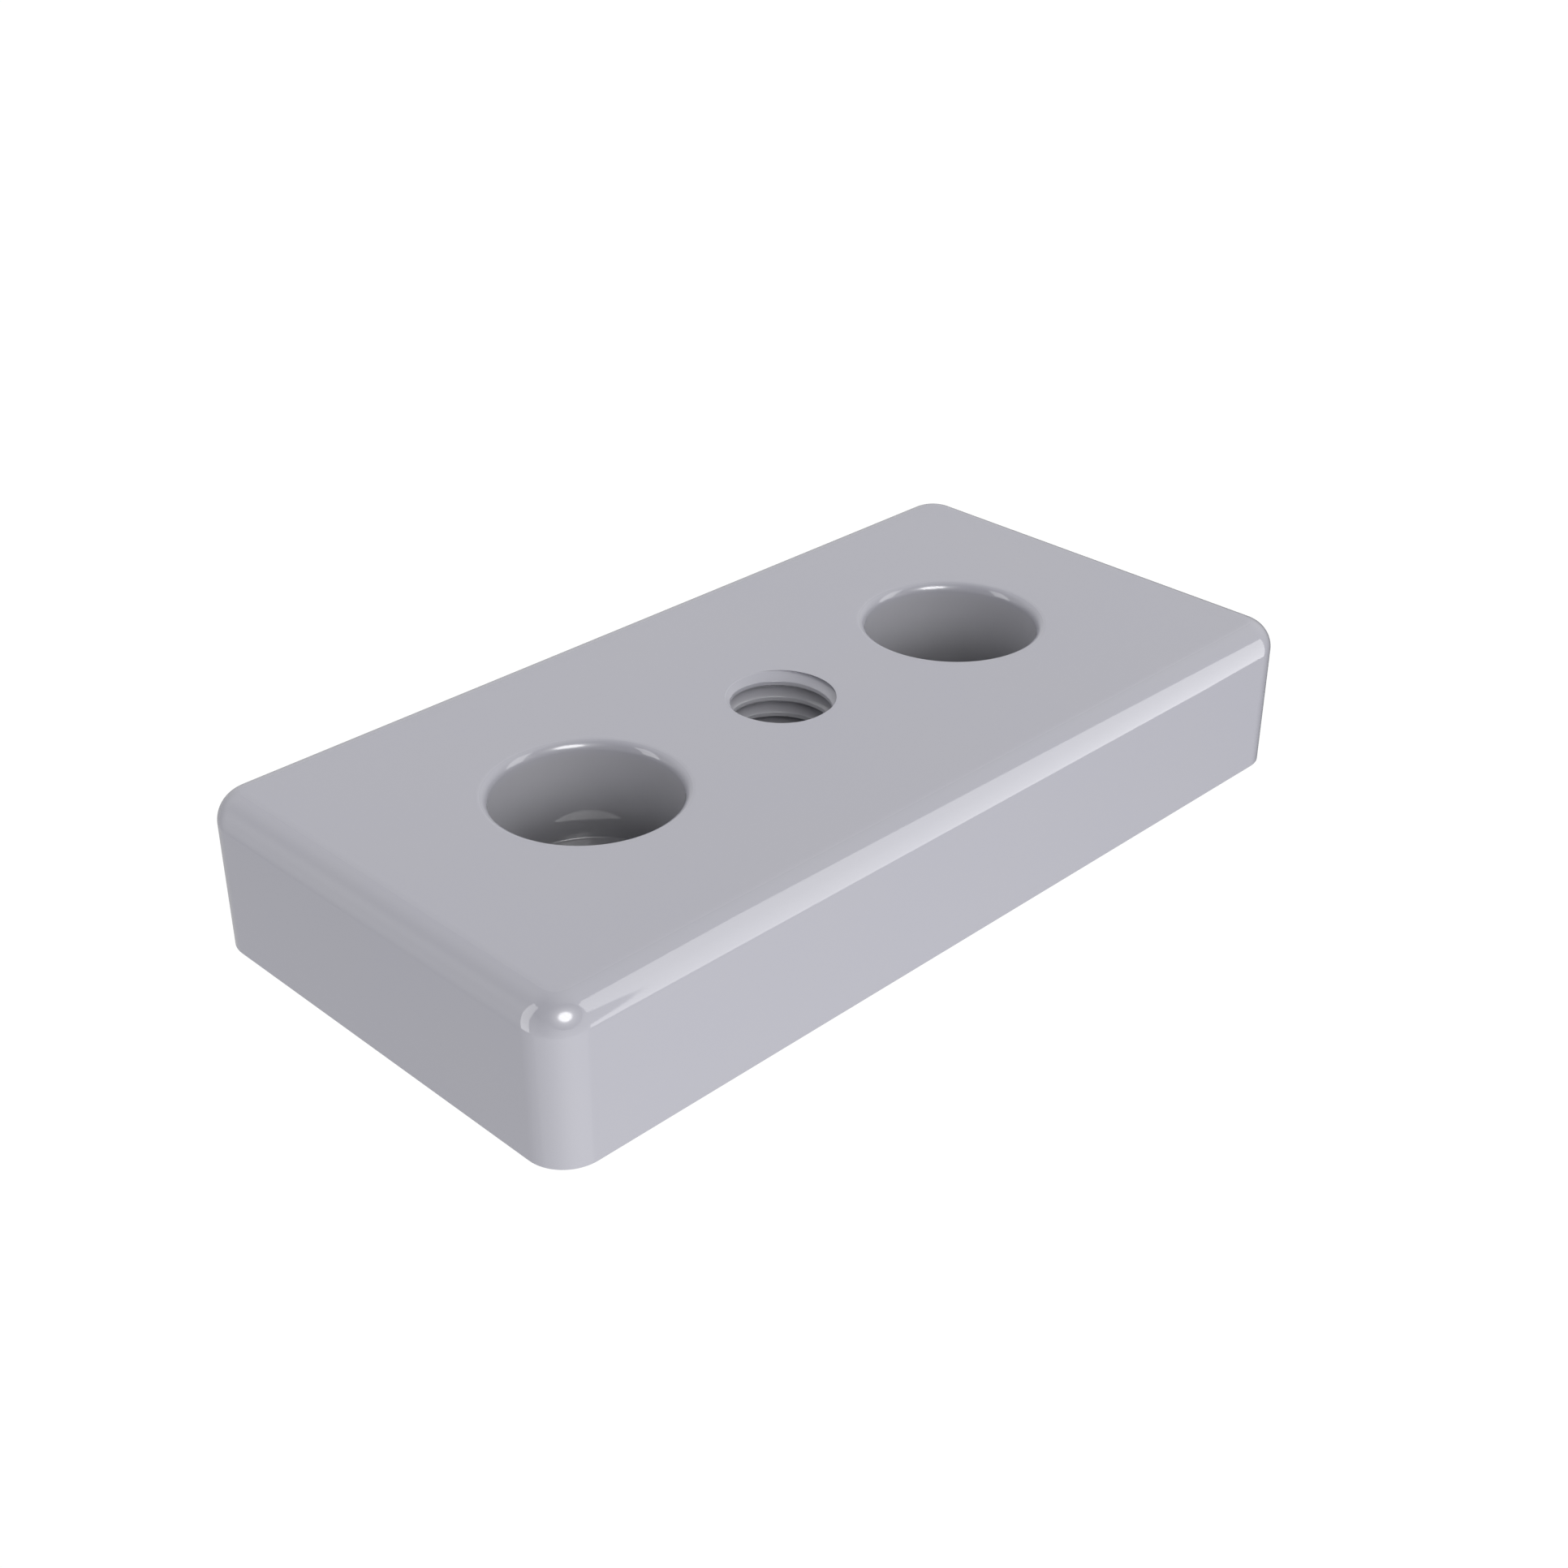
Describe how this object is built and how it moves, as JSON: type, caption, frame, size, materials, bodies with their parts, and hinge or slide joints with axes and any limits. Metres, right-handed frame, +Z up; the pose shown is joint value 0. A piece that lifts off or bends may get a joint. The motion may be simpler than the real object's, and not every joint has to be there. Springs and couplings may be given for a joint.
{
  "type": "base plate",
  "caption": "Thick rectangular base plate with rounded top edges, a tapped hole through its middle and a counterbored screw hole on either side.",
  "frame": {"origin": "middle of the underside, on the axis of the tapped hole", "axes": "+X along the plate's length through the two screw holes, +Y across its width, +Z up out of the top face"},
  "size_m": [0.1, 0.05, 0.016],
  "materials": {
    "base_plate": "gloss"
  },
  "bodies": {
    "root": {"base_plate": "base_plate"}
  },
  "joints": []
}
